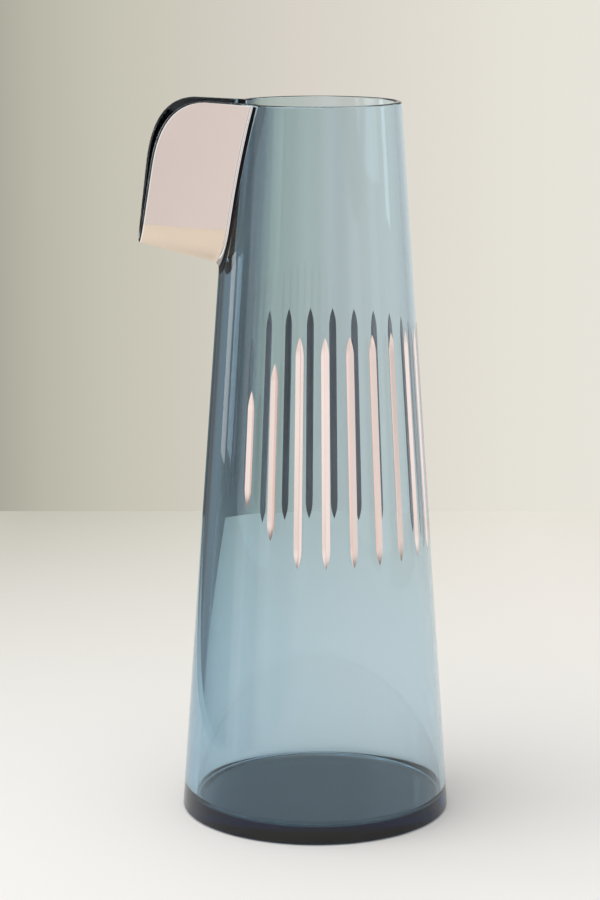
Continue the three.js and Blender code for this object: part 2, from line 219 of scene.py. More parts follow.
class GlassShape:
    """The surfaces of the glass. s runs from the axis towards the beak's tip."""

    # Lines over the keel and up one side of the beak, and steps along each line
    KEEL_LINES = 10
    SIDE_LINES = 22
    FILLET_STEPS = 6
    FREE_STEPS = 26
    # Passes that find where a line ends
    ROOT_PASSES = 6
    # Share of the side lines that end on the straight part of the lip's front
    STRAIGHT_FRONT = 0.4

    def __init__(self, body, beak):
        self.body = body
        self.beak = beak
        self.outer = Cone(body.base_radius, body.rim_radius, body.height, 0)
        bore_base = body.base_radius - body.foot_wall
        bore_top = body.rim_radius - body.rim_wall
        self.bore = Cone(bore_base, bore_top, body.height, body.bore_offset)
        self.tip_s = body.rim_radius + beak.reach
        self.tip_z = body.height - beak.drop
        self.root_z = self.tip_z - beak.underside_fall
        self.root_s = self.outer.radius(self.root_z)

    def cone(self, inside):
        return self.bore if inside else self.outer

    def along(self, s):
        return (s - self.root_s) / (self.tip_s - self.root_s)

    def keel(self, s):
        return self.root_z + self.beak.underside_fall * self.along(s)

    def crease(self, s):
        return self.keel(s) + lerp(self.beak.keel_root, self.beak.keel_front, self.along(s))

    def beak_wall(self, s):
        return lerp(self.beak.wall, self.beak.tip_wall, self.along(s))

    def inset(self, s, inside):
        """How far a surface of the beak lies inside its outer one."""
        return self.beak_wall(s) if inside else 0

    def half_width(self, s, z):
        at = self.along(s)
        narrowing = (1 - self.beak.plan_bow) * at + self.beak.plan_bow * at * abs(at)
        at_crease = lerp(self.beak.root_half_width, self.beak.tip_half_width, narrowing)
        splay = lerp(self.beak.root_splay, self.beak.tip_splay, at)
        return at_crease + splay * (z - self.crease(s))

    def keel_point(self, q, s, inset):
        """Sideways and height on the keel's section: q is 0 on the keel and 1 on the crease."""
        sharp = self.beak.keel_sharpness
        angle = q * math.pi / 2
        across = lerp(math.sin(angle), q, sharp)
        up = lerp(1 - math.cos(angle), q, sharp)
        crease = self.crease(s)
        y = across * (self.half_width(s, crease) - inset)
        return y, lerp(self.keel(s) + inset, crease, up)

    def front(self, z, back):
        """The front of the lip, drawn back from its crest."""
        lean = (self.beak.front_lean + back) / self.beak.drop
        return self.tip_s - back - (z - self.tip_z) * lean

    def lip_point(self, t, back):
        """The lip in side view, from the crease at t = 0 up the front and over the brow to t = 1."""
        turned_z = self.body.height - self.beak.brow_drop
        crease_s = self.tip_s - back
        low_z = self.crease(crease_s)
        straight = self.STRAIGHT_FRONT
        if t < straight:
            z = lerp(low_z, turned_z, t / straight)
            return Vector((self.front(z, back), z))
        brow_z = self.body.height + self.beak.brow_rise - back
        start = Vector((self.front(turned_z, back), turned_z))
        corner = Vector((self.front(brow_z, back), brow_z))
        end = Vector((self.body.rim_radius + self.beak.brow_reach, brow_z))
        u = (t - straight) / (1 - straight)
        return start * (1 - u) ** 2 + corner * 2 * u * (1 - u) + end * u**2

    def lip_normal(self, t, back):
        """The way out of the lip in side view."""
        step = 0.01
        along = self.lip_point(min(t + step, 1), back) - self.lip_point(max(t - step, 0), back)
        return Vector((along.y, -along.x)).normalized()

    def root_of(self, point_at, inside):
        """Where a line runs into the round body."""
        s = self.root_s
        for _ in range(self.ROOT_PASSES):
            s = self.cone(inside).s_at(*point_at(s))
        return s

    def root_fillets(self, inside):
        """Radii at the beak's root, under the keel and beside the flat sides."""
        if inside:
            return self.beak.channel_fillet, self.beak.channel_side_fillet
        return self.beak.root_fillet, self.beak.side_fillet

    def keel_line(self, q, inside, back):
        """A line along the beak's underside: q is 0 on the keel and 1 on the crease."""

        def at(s):
            return self.keel_point(q, s, self.inset(s, inside))

        def normal_at(s):
            if q == 0:
                return Vector((0, -1))
            step = 0.5 / self.KEEL_LINES
            inset = self.inset(s, inside)
            low = self.keel_point(q - step, s, inset)
            high = self.keel_point(min(q + step, 1), s, inset)
            return Vector((high[1] - low[1], low[0] - high[0])).normalized()

        end = self.tip_s
        for _ in range(self.ROOT_PASSES):
            end = self.front(at(end)[1], back)
        fillet = lerp(*self.root_fillets(inside), q)
        return Line(at, normal_at, self.root_of(at, inside), end, fillet)

    def side_line(self, t, inside, back):
        """A straight line in side view, from the body to the lip."""
        crease_root = self.keel_line(1, inside, back).root_s
        root_z = lerp(self.crease(crease_root), self.body.height - back, t)
        end = self.lip_point(t, back)

        def width(s, z):
            return self.half_width(s, z) - self.inset(s, inside)

        root_s = self.root_of(lambda s: (width(s, root_z), root_z), inside)

        def at(s):
            z = lerp(root_z, end.y, (s - root_s) / (end.x - root_s))
            return width(s, z), z

        def normal_at(s):
            z = at(s)[1]
            step = 1 * MM
            return Vector((2 * step, width(s, z - step) - width(s, z + step))).normalized()

        return Line(at, normal_at, root_s, end.x, self.root_fillets(inside)[1])

    def beak_lines(self, inside, back):
        """The lines along one side of the beak, from the keel up to the lip's top."""
        keel = [self.keel_line(i / self.KEEL_LINES, inside, back) for i in range(self.KEEL_LINES + 1)]
        side = [self.side_line(i / self.SIDE_LINES, inside, back) for i in range(1, self.SIDE_LINES + 1)]
        return keel + side

    def along_line(self, line, inside):
        """Points along a line, as (s, sideways, height), from the body over the fillet to the lip."""
        cone = self.cone(inside)
        fillet = line.fillet
        y, z = line.at(line.root_s)
        normal = line.normal_at(line.root_s)
        turn = math.acos(normal.x * y / cone.radius(z) + normal.y * cone.taper)
        deepest = fillet * math.sin(min(turn, math.pi / 2))
        reach = fillet * math.tan(turn / 2)
        free_s = line.root_s + reach
        points = []
        for k in range(self.FILLET_STEPS + self.FREE_STEPS + 1):
            if k <= self.FILLET_STEPS:
                into = deepest * math.cos(math.pi / 2 * k / self.FILLET_STEPS)
                s = free_s - into
                proud = fillet - math.sqrt(max(0, fillet**2 - into**2))
            else:
                s = lerp(free_s, line.end_s, (k - self.FILLET_STEPS) / self.FREE_STEPS)
                proud = 0
            y, z = line.at(s)
            out = line.normal_at(s) * proud
            points.append(Vector((s, y + out.x, z + out.y)))
        first = points[0]
        points[0] = Vector((cone.s_at(first.y, first.z), first.y, first.z))
        return points


class CutShape:
    """The wheel cuts on the outside of the body."""

    # Least width that the mesh keeps past a cut's ends, as a share of the cut's width
    LEAST_WIDTH = 0.05
    # Places between the middle and the end of a full cut, as shares of its half length
    BETWEEN = (0, 0.1, 0.2, 0.3, 0.4, 0.5, 0.6)
    RUN_OUT_STEPS = 6
    PAST_END = 1 * MM
    LEAST_SPACE = 0.1 * MM

    def __init__(self, cuts, taper):
        self.cuts = cuts
        self.upright = math.cos(math.atan(taper))
        self.step = 2 * math.pi / cuts.divisions
        self.last = cuts.divisions - cuts.first

    def length_of(self, division):
        place = min(division, self.cuts.divisions - division) - self.cuts.first
        return {0: self.cuts.shortest, 1: self.cuts.second}.get(place, self.cuts.full)

    def half_width(self, division, z):
        """Half width of a cut at a height, or of what the mesh keeps of it past its ends."""
        along = (z - self.cuts.centre) / self.upright
        past = abs(along) - (self.length_of(division) / 2 - self.cuts.run_out)
        shallower = clamp(past / self.cuts.run_out, 0, 1) ** 2
        return self.cuts.width / 2 * max(1 - shallower, self.LEAST_WIDTH)

    def heights(self):
        """Heights where the cuts change: their ends, their run-outs and a few places between."""
        cuts = self.cuts
        along = [cuts.full / 2 * part for part in self.BETWEEN]
        for whole in (cuts.full, cuts.second, cuts.shortest):
            for step in range(self.RUN_OUT_STEPS + 1):
                along.append(whole / 2 - cuts.run_out * step / self.RUN_OUT_STEPS)
        along.append(cuts.full / 2 + self.PAST_END)
        both = sorted({round(a, 6) for a in along} | {round(-a, 6) for a in along})
        spaced = [a for i, a in enumerate(both) if i == 0 or a - both[i - 1] > self.LEAST_SPACE]
        return [cuts.centre + a * self.upright for a in spaced]


class GlassMesh:
    """Collects the glass's points and faces."""

    FRONT_COLUMNS = 9
    LIP_STEPS = 6
    # Columns across a cut, in its half widths, and between two cuts, in divisions
    CUT_COLUMNS = (-1, -0.5, 0, 0.5, 1)
    PLAIN_COLUMNS = (0.265, 0.36, 0.455, 0.545, 0.64, 0.735)
    # Half width of a cut's columns on the inside, and the room before the first cut, in divisions
    INNER_HALF_WIDTH = 0.17
    ROOM_BEFORE_CUT = 0.4
    # A line that starts closer than this to the middle plane lies on the keel
    ON_KEEL = 1e-9

    def __init__(self, shape, cut_shape):
        self.shape = shape
        self.cut_shape = cut_shape
        self.bm = bmesh.new()
        self.outside = self.bm.verts.layers.int.new("outside")

    def vert(self, x, y, z, outside):
        vert = self.bm.verts.new((x, y, z))
        vert[self.outside] = outside
        return vert

    def bearings(self, z, split, inside):
        """Bearings of one row's points from the beak, from one edge of the beak round to the other."""
        cut = self.cut_shape
        radius = self.shape.outer.radius(z)
        edge = (cut.cuts.first - self.ROOM_BEFORE_CUT) * cut.step
        front = [lerp(split, edge, c / self.FRONT_COLUMNS) for c in range(self.FRONT_COLUMNS + 1)]
        middle = []
        for division in range(cut.cuts.first, cut.last + 1):
            half = self.INNER_HALF_WIDTH * cut.step if inside else cut.half_width(division, z) / radius
            middle += [division * cut.step + half * place for place in self.CUT_COLUMNS]
            if division < cut.last:
                middle += [(division + place) * cut.step for place in self.PLAIN_COLUMNS]
        return front + middle + [2 * math.pi - bearing for bearing in reversed(front)]

    def row(self, inset, z, split, inside):
        """A row of points round the body, set in from the wall's cone."""
        cone = self.shape.cone(inside)
        axis = Vector((cone.set_back, 0, z))
        part = 1 - inset / cone.radius(z)
        verts = []
        for bearing in self.bearings(z, split, inside):
            place = axis.lerp(cone.point(bearing, z), part)
            verts.append(self.vert(*place, not inside))
        if split == 0:
            self.bm.verts.remove(verts[-1])
            verts[-1] = verts[0]
        return verts

    def quads(self, row_a, row_b):
        for i in range(len(row_a) - 1):
            corners = [row_a[i], row_a[i + 1], row_b[i + 1], row_b[i]]
            distinct = list(dict.fromkeys(corners))
            if len(distinct) > 2:
                self.bm.faces.new(distinct)

    def skin(self, low_rows, inside, back):
        """One side of the wall: low_rows of (inset, height), then the rows that the beak grows from.

        Returns the row of points round the rim and the lip.
        """
        shape = self.shape
        cone = shape.cone(inside)
        lines = [shape.along_line(line, inside) for line in shape.beak_lines(inside, back)]
        rows = [self.row(inset, z, 0, inside) for inset, z in low_rows]
        for points in lines:
            start = points[0]
            split = cone.bearing_of(start.x, start.y) if start.y > self.ON_KEEL else 0
            rows.append(self.row(0, start.z, split, inside))
        for row_a, row_b in zip(rows, rows[1:]):
            self.quads(row_a, row_b)
        middle = self.vert(cone.set_back, 0, low_rows[0][1], not inside)
        for a, b in zip(rows[0], rows[0][1:]):
            self.bm.faces.new((middle, a, b))
        left, right = [], []
        for points, row in zip(lines, rows[len(low_rows):]):
            left.append([row[0]] + [self.vert(-s, -y, z, not inside) for s, y, z in points[1:]])
            if right:
                right.append([row[-1]] + [self.vert(-s, y, z, not inside) for s, y, z in points[1:]])
            else:
                right.append(left[-1])
        for side in (left, right):
            for line_a, line_b in zip(side, side[1:]):
                self.quads(line_a, line_b)
        rim = rows[-1]
        down = [line[-1] for line in reversed(left[:-1])]
        up = [line[-1] for line in right[1:-1]]
        return left[-1] + down + up + right[-1][::-1] + rim[-2:0:-1]

    def lip_ways(self, back):
        """The way out of the lip at each point of the row round the rim and the lip, as (s, height)."""
        shape = self.shape
        up = Vector((0, 1))
        front = shape.lip_normal(0, back)
        top = [up] * (shape.FILLET_STEPS + shape.FREE_STEPS) + [shape.lip_normal(1, back)]
        brow = [shape.lip_normal(1 - i / shape.SIDE_LINES, back) for i in range(1, shape.SIDE_LINES)]
        keel = [front] * (shape.KEEL_LINES + 1)
        half = top + brow + keel
        return half + half[-2::-1]

    def lip(self, outer, inner, back):
        """Rounds the rim and the lip over, from the outside to the inside."""
        ways = self.lip_ways(back)
        ways += [Vector((0, 1))] * (len(outer) - len(ways))
        rows = [outer]
        for step in range(1, self.LIP_STEPS):
            angle = math.pi * step / self.LIP_STEPS
            across = (1 - math.cos(angle)) / 2
            row = []
            for a, b, way in zip(outer, inner, ways):
                crest = Vector((-way.x, 0, way.y)) * back * math.sin(angle)
                place = a.co.lerp(b.co, across) + crest
                row.append(self.vert(*place, False))
            rows.append(row)
        rows.append(inner)
        for row_a, row_b in zip(rows, rows[1:]):
            self.quads(row_a + row_a[:1], row_b + row_b[:1])

    def finish(self, name):
        bmesh.ops.recalc_face_normals(self.bm, faces=self.bm.faces)
        mesh = bpy.data.meshes.new(name)
        self.bm.to_mesh(mesh)
        self.bm.free()
        mesh.shade_smooth()
        return mesh


# Node helpers


def add_node(tree, kind, inputs=None, **settings):
    """A new node; inputs maps a socket's name or number to a value or to another node's socket."""
    node = tree.nodes.new(kind)
    for key, value in settings.items():
        setattr(node, key, value)
    for key, value in (inputs or {}).items():
        if isinstance(value, bpy.types.NodeSocket):
            tree.links.new(value, node.inputs[key])
        else:
            node.inputs[key].default_value = value
    return node


def maths(tree, operation, *values):
    node = add_node(tree, "ShaderNodeMath", dict(enumerate(values)), operation=operation)
    return node.outputs[0]


def mix_colours(tree, factor, first, second):
    node = add_node(tree, "ShaderNodeMix", {0: factor, 6: first, 7: second}, data_type="RGBA")
    return node.outputs[2]


NODES_IN_COLUMN = 4
NODE_WIDTH = 200
NODE_HEIGHT = 220


def lay_out(tree):
    """Spreads the nodes out from left to right in the order they were made."""
    for i, node in enumerate(tree.nodes):
        column, row = divmod(i, NODES_IN_COLUMN)
        node.location = (NODE_WIDTH * column, -NODE_HEIGHT * row)


def new_tree(name, kind, inputs, outputs):
    """A node tree with named sockets of (name, socket type), and its two end nodes."""
    tree = bpy.data.node_groups.new(name, kind)
    for socket_name, socket_type in inputs:
        tree.interface.new_socket(name=socket_name, in_out="INPUT", socket_type=socket_type)
    for socket_name, socket_type in outputs:
        tree.interface.new_socket(name=socket_name, in_out="OUTPUT", socket_type=socket_type)
    return tree, tree.nodes.new("NodeGroupInput").outputs, tree.nodes.new("NodeGroupOutput").inputs


def keep_result(obj):
    """Makes what an object's modifiers give its plain mesh."""
    depsgraph = bpy.context.evaluated_depsgraph_get()
    mesh = bpy.data.meshes.new_from_object(obj.evaluated_get(depsgraph))
    obj.modifiers.clear()
    obj.data = mesh


def run_tree(obj, tree, values):
    """Runs a geometry tree on an object and keeps the result as its plain mesh."""
    modifier = obj.modifiers.new(tree.name, "NODES")
    modifier.node_group = tree
    for item in tree.interface.items_tree:
        if item.in_out == "INPUT" and item.name in values:
            modifier[item.identifier] = values[item.name]
    keep_result(obj)


FLOAT = "NodeSocketFloat"
INT = "NodeSocketInt"
GEOMETRY = "NodeSocketGeometry"
MATERIAL = "NodeSocketMaterial"
CUT_SOCKETS = {
    "Divisions": ("divisions", INT),
    "First": ("first", INT),
    "Centre": ("centre", FLOAT),
    "Full length": ("full", FLOAT),
    "Second length": ("second", FLOAT),
    "First length": ("shortest", FLOAT),
    "Width": ("width", FLOAT),
    "Depth": ("depth", FLOAT),
    "Run-out": ("run_out", FLOAT),
}
CUT_INPUTS = [(name, kind) for name, (_, kind) in CUT_SOCKETS.items()]
CUT_INPUTS += [("Taper", FLOAT), ("Base radius", FLOAT)]
STRIP_SIZES = ("Width", "Depth", "Run-out", "Foil", "Bite")
FOIL_COLUMNS = 5
FOIL_ROWS = 61
# Share of a cut's length that the foil reaches each way from the middle, just short of the cut's point
FOIL_REACH = 0.499
MERGE_DISTANCE = 1e-7


def cut_values(cuts, shape):
    """Values for the inputs that both trees for the cuts have."""
    values = {name: getattr(cuts, size) for name, (size, _) in CUT_SOCKETS.items()}
    values["Taper"] = shape.outer.taper
    values["Base radius"] = shape.outer.base_radius
    return values


def named_attribute(tree, name, data_type):
    """What the mesh keeps under a name."""
    node = add_node(tree, "GeometryNodeInputNamedAttribute", {"Name": name}, data_type=data_type)
    return node.outputs[0]


def with_material(tree, geometry, material, selection=True):
    """The geometry with a material on its selected faces."""
    inputs = {"Geometry": geometry, "Selection": selection, "Material": material}
    return add_node(tree, "GeometryNodeSetMaterial", inputs).outputs[0]


def wall_radius(tree, z, given):
    """Radius of the wall's outside at a height."""
    down = maths(tree, "MULTIPLY", z, -1)
    return maths(tree, "MULTIPLY_ADD", down, given["Taper"], given["Base radius"])


def depth_group():
    """How deep the bottom of a cut lies at a distance from the cut's middle."""
    name = "Depth along a cut"
    if name in bpy.data.node_groups:
        return bpy.data.node_groups[name]
    tree, given, result = new_tree(
        name,
        "GeometryNodeTree",
        [("Along", FLOAT), ("Length", FLOAT), ("Depth", FLOAT), ("Run-out", FLOAT)],
        [("Depth", FLOAT)],
    )
    half = maths(tree, "MULTIPLY", given["Length"], 0.5)
    straight = maths(tree, "SUBTRACT", half, given["Run-out"])
    distance = maths(tree, "ABSOLUTE", given["Along"])
    past = maths(tree, "MAXIMUM", maths(tree, "SUBTRACT", distance, straight), 0)
    lifted = maths(tree, "POWER", maths(tree, "DIVIDE", past, given["Run-out"]), 2)
    left = maths(tree, "MAXIMUM", maths(tree, "SUBTRACT", 1, lifted), 0)
    tree.links.new(maths(tree, "MULTIPLY", given["Depth"], left), result["Depth"])
    lay_out(tree)
    return tree


def depth_at(tree, along, length_here, given):
    """Depth of a cut of some length at a distance from its middle."""
    inputs = {
        "Along": along,
        "Length": length_here,
        "Depth": given["Depth"],
        "Run-out": given["Run-out"],
    }
    return add_node(tree, "GeometryNodeGroup", inputs, node_tree=depth_group()).outputs[0]


def place_in_row(tree, division, given):
    """How many places a cut lies from the first cut on its side of the beak."""
    other_way = maths(tree, "SUBTRACT", given["Divisions"], division)
    return maths(tree, "SUBTRACT", maths(tree, "MINIMUM", division, other_way), given["First"])


def cut_length(tree, place, given):
    length_here = given["Full length"]
    for number, name in enumerate(("First length", "Second length")):
        here = maths(tree, "COMPARE", place, number, 0.5)
        change = maths(tree, "SUBTRACT", given[name], given["Full length"])
        length_here = maths(tree, "MULTIPLY_ADD", here, change, length_here)
    return length_here


def press_cuts_tree():
    """Presses the wheel cuts into the outside of the glass."""
    tree, given, result = new_tree(
        "Press wheel cuts",
        "GeometryNodeTree",
        [("Geometry", GEOMETRY), *CUT_INPUTS, ("Material", MATERIAL)],
        [("Geometry", GEOMETRY)],
    )
    position = add_node(tree, "GeometryNodeInputPosition").outputs[0]
    xyz = add_node(tree, "ShaderNodeSeparateXYZ", {0: position}).outputs
    toward_beak = maths(tree, "MULTIPLY", xyz["X"], -1)
    toward_left = maths(tree, "MULTIPLY", xyz["Y"], -1)
    bearing = maths(tree, "WRAP", maths(tree, "ARCTAN2", toward_left, toward_beak), 2 * math.pi, 0)
    step = maths(tree, "DIVIDE", 2 * math.pi, given["Divisions"])
    division = maths(tree, "ROUND", maths(tree, "DIVIDE", bearing, step))
    off = maths(tree, "SUBTRACT", bearing, maths(tree, "MULTIPLY", division, step))
    radius = wall_radius(tree, xyz["Z"], given)
    sideways = maths(tree, "ABSOLUTE", maths(tree, "MULTIPLY", off, radius))
    place = place_in_row(tree, division, given)
    upright = maths(tree, "COSINE", maths(tree, "ARCTANGENT", given["Taper"]))
    along = maths(tree, "DIVIDE", maths(tree, "SUBTRACT", xyz["Z"], given["Centre"]), upright)
    bottom = depth_at(tree, along, cut_length(tree, place, given), given)
    half = maths(tree, "MULTIPLY", given["Width"], 0.5)
    rise = maths(tree, "MULTIPLY", maths(tree, "DIVIDE", sideways, half), given["Depth"])
    depth = maths(tree, "MAXIMUM", maths(tree, "SUBTRACT", bottom, rise), 0)
    in_row = maths(tree, "GREATER_THAN", place, -0.5)
    pressed = maths(tree, "MULTIPLY", in_row, named_attribute(tree, "outside", "INT"))
    inward = maths(tree, "MULTIPLY", depth, maths(tree, "MULTIPLY", pressed, -1))
    level = add_node(tree, "ShaderNodeCombineXYZ", {0: xyz["X"], 1: xyz["Y"]}).outputs[0]
    out = add_node(tree, "ShaderNodeVectorMath", {0: level}, operation="NORMALIZE").outputs[0]
    offset = add_node(tree, "ShaderNodeVectorMath", {0: out, "Scale": inward}, operation="SCALE").outputs[0]
    moved = add_node(tree, "GeometryNodeSetPosition", {"Geometry": given["Geometry"], "Offset": offset})
    real = add_node(tree, "GeometryNodeRealizeInstances", {"Geometry": moved.outputs[0]}).outputs[0]
    tree.links.new(with_material(tree, real, given["Material"]), result["Geometry"])
    lay_out(tree)
    return tree


def foil_strip_tree():
    """The foil of one cut, in the cut's own frame: +X out of the glass, +Y sideways, +Z up the wall."""
    tree, given, result = new_tree(
        "Foil of one cut",
        "GeometryNodeTree",
        [(name, FLOAT) for name in ("Length", *STRIP_SIZES)],
        [("Geometry", GEOMETRY), ("Front", "NodeSocketBool")],
    )
    grid = add_node(
        tree,
        "GeometryNodeMeshGrid",
        {"Size X": 2, "Size Y": 2, "Vertices X": FOIL_COLUMNS, "Vertices Y": FOIL_ROWS},
    ).outputs["Mesh"]
    position = add_node(tree, "GeometryNodeInputPosition").outputs[0]
    unit = add_node(tree, "ShaderNodeSeparateXYZ", {0: position}).outputs
    along = maths(tree, "MULTIPLY", unit["Y"], maths(tree, "MULTIPLY", given["Length"], FOIL_REACH))
    depth = depth_at(tree, along, given["Length"], given)
    width = maths(tree, "MULTIPLY", maths(tree, "DIVIDE", depth, given["Depth"]), given["Width"])
    sideways = maths(tree, "MULTIPLY", maths(tree, "MULTIPLY", width, 0.5), unit["X"])
    inside = maths(tree, "SUBTRACT", 1, maths(tree, "ABSOLUTE", unit["X"]))
    below = maths(tree, "MULTIPLY_ADD", inside, depth, given["Bite"])
    out = maths(tree, "MULTIPLY", below, -1)
    place = add_node(tree, "ShaderNodeCombineXYZ", {0: out, 1: sideways, 2: along}).outputs[0]
    back = add_node(tree, "GeometryNodeSetPosition", {"Geometry": grid, "Position": place}).outputs[0]
    thickness = add_node(tree, "ShaderNodeCombineXYZ", {0: given["Foil"]}).outputs[0]
    front = add_node(
        tree, "GeometryNodeExtrudeMesh", {"Mesh": back, "Offset": thickness, "Individual": False}
    ).outputs
    turned = add_node(tree, "GeometryNodeFlipFaces", {"Mesh": back}).outputs[0]
    both = add_node(tree, "GeometryNodeJoinGeometry")
    for side in (front["Mesh"], turned):
        tree.links.new(side, both.inputs[0])
    closed = add_node(
        tree, "GeometryNodeMergeByDistance", {"Geometry": both.outputs[0], "Distance": MERGE_DISTANCE}
    ).outputs[0]
    tree.links.new(closed, result["Geometry"])
    tree.links.new(front["Top"], result["Front"])
    lay_out(tree)
    return tree


def foil_tree():
    """The foil of all the cuts, each set in its own cut."""
    own = [("Foil", FLOAT), ("Bite", FLOAT), ("Front metal", MATERIAL), ("Back metal", MATERIAL)]
    tree, given, result = new_tree(
        "Foil in the wheel cuts", "GeometryNodeTree", CUT_INPUTS + own, [("Geometry", GEOMETRY)]
    )
    skipped = maths(tree, "SUBTRACT", maths(tree, "MULTIPLY", given["First"], 2), 1)
    count = maths(tree, "SUBTRACT", given["Divisions"], skipped)
    points = add_node(tree, "GeometryNodeMeshLine", {"Count": count, "Offset": (0, 0, 0)}).outputs[0]
    index = add_node(tree, "GeometryNodeInputIndex").outputs[0]
    division = maths(tree, "ADD", index, given["First"])
    place = place_in_row(tree, division, given)
    step = maths(tree, "DIVIDE", 2 * math.pi, given["Divisions"])
    bearing = maths(tree, "MULTIPLY_ADD", division, step, math.pi)
    radius = wall_radius(tree, given["Centre"], given)
    seat = add_node(
        tree,
        "ShaderNodeCombineXYZ",
        {
            0: maths(tree, "MULTIPLY", radius, maths(tree, "COSINE", bearing)),
            1: maths(tree, "MULTIPLY", radius, maths(tree, "SINE", bearing)),
            2: given["Centre"],
        },
    ).outputs[0]
    seated = add_node(tree, "GeometryNodeSetPosition", {"Geometry": points, "Position": seat}).outputs[0]
    lean = maths(tree, "MULTIPLY", maths(tree, "ARCTANGENT", given["Taper"]), -1)
    turn = add_node(tree, "ShaderNodeCombineXYZ", {1: lean, 2: bearing}).outputs[0]
    rotation = add_node(tree, "FunctionNodeEulerToRotation", {0: turn}).outputs[0]
    strip_tree = foil_strip_tree()
    all_strips = add_node(tree, "GeometryNodeJoinGeometry")
    chosen = {
        "First length": maths(tree, "COMPARE", place, 0, 0.5),
        "Second length": maths(tree, "COMPARE", place, 1, 0.5),
        "Full length": maths(tree, "GREATER_THAN", place, 1.5),
    }
    for name, selection in chosen.items():
        inputs = {size: given[size] for size in STRIP_SIZES}
        inputs["Length"] = given[name]
        strip = add_node(tree, "GeometryNodeGroup", inputs, node_tree=strip_tree)
        kept = add_node(
            tree,
            "GeometryNodeStoreNamedAttribute",
            {"Geometry": strip.outputs["Geometry"], "Name": "front", "Value": strip.outputs["Front"]},
            data_type="BOOLEAN",
            domain="FACE",
        ).outputs[0]
        strips = add_node(
            tree,
            "GeometryNodeInstanceOnPoints",
            {"Points": seated, "Selection": selection, "Instance": kept, "Rotation": rotation},
        ).outputs[0]
        tree.links.new(strips, all_strips.inputs[0])
    real = add_node(tree, "GeometryNodeRealizeInstances", {"Geometry": all_strips.outputs[0]}).outputs[0]
    # The foil's back faces take the darker back metal: painted shade
    backed = with_material(tree, real, given["Back metal"])
    on_front = named_attribute(tree, "front", "BOOLEAN")
    faced = with_material(tree, backed, given["Front metal"], on_front)
    tree.links.new(faced, result["Geometry"])
    lay_out(tree)
    return tree


# Materials


def new_material(name):
    material = bpy.data.materials.new(name)
    material.use_nodes = True
    return material, material.node_tree, material.node_tree.nodes["Principled BSDF"]


def noise(tree, place, scale, detail):
    """Soft clouds between 0 and 1."""
    inputs = {"Vector": place, "Scale": scale, "Detail": detail}
    return add_node(tree, "ShaderNodeTexNoise", inputs).outputs["Fac"]


def film_group():
    """Uneven tone of a thin metal film: two colours and a roughness that drift over the surface."""
    name = "Drift of a metal film"
    if name in bpy.data.node_groups:
        return bpy.data.node_groups[name]
    tree, given, result = new_tree(
        name,
        "ShaderNodeTree",
        [
            ("Tone", "NodeSocketColor"),
            ("Second tone", "NodeSocketColor"),
            ("Scale", FLOAT),
            ("Least roughness", FLOAT),
            ("Most roughness", FLOAT),
        ],
        [("Color", "NodeSocketColor"), ("Roughness", FLOAT)],
    )
    place = add_node(tree, "ShaderNodeTexCoord").outputs["Object"]
    cloud = noise(tree, place, given["Scale"], detail=2)
    tree.links.new(mix_colours(tree, cloud, given["Tone"], given["Second tone"]), result["Color"])
    spread = maths(tree, "SUBTRACT", given["Most roughness"], given["Least roughness"])
    roughness = maths(tree, "MULTIPLY_ADD", cloud, spread, given["Least roughness"])
    tree.links.new(roughness, result["Roughness"])
    lay_out(tree)
    return tree


def scaled(tone, factor):
    return tuple(clamp(channel * factor, 0, 1) for channel in tone)


def metal_film(name, tone, fade, scale, roughness):
    """A metal film whose tone and roughness drift in soft clouds."""
    material, tree, shader = new_material(name)
    least, most = roughness
    inputs = {
        "Tone": (*tone, 1),
        "Second tone": (*scaled(tone, fade), 1),
        "Scale": scale,
        "Least roughness": least,
        "Most roughness": most,
    }
    film = add_node(tree, "ShaderNodeGroup", inputs, node_tree=film_group()).outputs
    tree.links.new(film["Color"], shader.inputs["Base Color"])
    tree.links.new(film["Roughness"], shader.inputs["Roughness"])
    shader.inputs["Metallic"].default_value = 1
    return material


def smoke_blue_glass(finishes):
    """Glass with a faint wave from blowing, coloured through its thickness."""
    material, tree, shader = new_material("smoke_blue_glass")
    shader.inputs["Base Color"].default_value = (1, 1, 1, 1)
    shader.inputs["Roughness"].default_value = 0
    shader.inputs["IOR"].default_value = 1.5
    shader.inputs["Transmission Weight"].default_value = 1
    place = add_node(tree, "ShaderNodeTexCoord").outputs["Object"]
    stretched = add_node(tree, "ShaderNodeMapping", {"Vector": place, "Scale": (1, 1, 0.25)}).outputs[0]
    wave = noise(tree, stretched, scale=30, detail=0)
    bump = add_node(tree, "ShaderNodeBump", {"Height": wave, "Strength": 0.1, "Distance": 0.0004})
    tree.links.new(bump.outputs["Normal"], shader.inputs["Normal"])
    absorption = add_node(
        tree,
        "ShaderNodeVolumeAbsorption",
        {"Color": (*finishes.glass_tint, 1), "Density": finishes.glass_density},
    )
    tree.links.new(absorption.outputs[0], tree.nodes["Material Output"].inputs["Volume"])
    return material


def side_gold(finishes):
    return metal_film("rose_gold_side", finishes.side_gold, fade=0.96, scale=40, roughness=(0.12, 0.18))


def keel_gold(finishes):
    return metal_film("rose_gold_underside", finishes.keel_gold, fade=0.95, scale=60, roughness=(0.2, 0.28))


# Near-white metal for the painted highlight lines along the coat's edges
def painted_highlight_gold(finishes):
    return metal_film("rose_gold_edge", finishes.painted_highlight_gold, fade=0.97, scale=40, roughness=(0.1, 0.14))


def inlay_gold(finishes):
    return metal_film("rose_gold_inlay", finishes.inlay_gold, fade=0.95, scale=30, roughness=(0.16, 0.22))


# Near-black metal: painted shade on the coat's back and a painted shadow line at its root
def coat_back(finishes):
    return metal_film("coat_back", finishes.coat_back, fade=0.8, scale=50, roughness=(0.3, 0.4))


# A darker, redder copy of the inlay metal for the inlays' backs: painted shade
def inlay_back(finishes):
    return metal_film("inlay_back", finishes.inlay_back, fade=0.8, scale=50, roughness=(0.25, 0.35))


# Pieces

